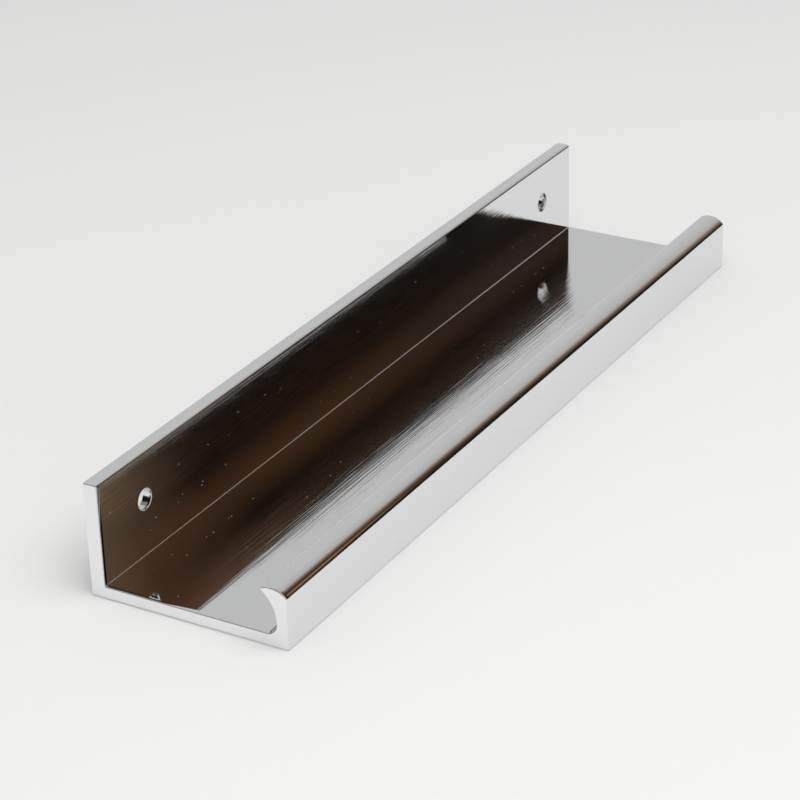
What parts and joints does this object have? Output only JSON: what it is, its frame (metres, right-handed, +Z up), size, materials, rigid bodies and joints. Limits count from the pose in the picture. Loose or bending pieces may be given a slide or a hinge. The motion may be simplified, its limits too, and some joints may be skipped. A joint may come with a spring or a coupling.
{
  "type": "edge pull",
  "caption": "Straight mirror-polished edge pull: flat plate, upright screw flange with countersunk holes, and a hooked finger lip along the opposite side.",
  "frame": {"origin": "centre of the plate's underside, on the surface that the pull lies on", "axes": "+X from the flange to the lip, +Y along the extrusion, +Z up from the underside of the plate"},
  "size_m": [0.045, 0.2, 0.0246],
  "materials": {
    "polished_metal": "mirror-polished, with faint lines along the extrusion"
  },
  "bodies": {
    "root": {"edge_pull": "polished_metal"}
  },
  "joints": []
}
